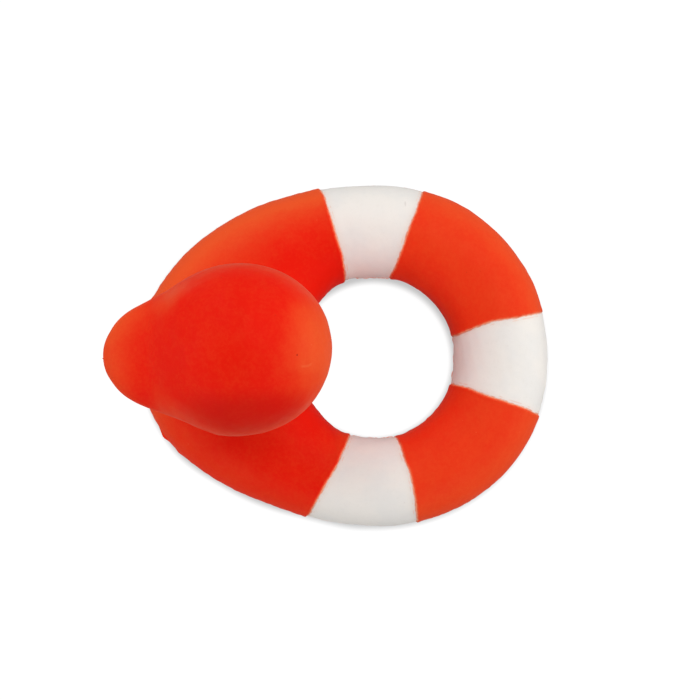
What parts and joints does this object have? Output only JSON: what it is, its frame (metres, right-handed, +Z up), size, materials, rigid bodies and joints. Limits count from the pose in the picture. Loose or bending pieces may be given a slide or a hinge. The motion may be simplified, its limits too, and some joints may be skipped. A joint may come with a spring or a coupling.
{
  "type": "duck-headed ring float bath toy",
  "caption": "Hand-sized floating ring in red moulded rubber with white bands and a duck head on a short neck at the front.",
  "frame": {"origin": "on the ground, under the middle of the whole toy's bounding box", "axes": "+Z up, the bill faces -Y and the rear of the ring +Y, +X is the duck's left side"},
  "size_m": [0.0835, 0.1078, 0.07],
  "materials": {
    "red_rubber": "matte, slightly dusty",
    "white_rubber": "matte, finely pored",
    "plug_rubber": "matte"
  },
  "bodies": {
    "root": {"ring_upper_shell": "red_rubber", "ring_lower_shell": "red_rubber", "head_shell": "red_rubber", "white_band_left": "white_rubber", "white_band_right": "white_rubber", "white_band_rear": "white_rubber", "sealing_plug": "plug_rubber"}
  },
  "joints": []
}
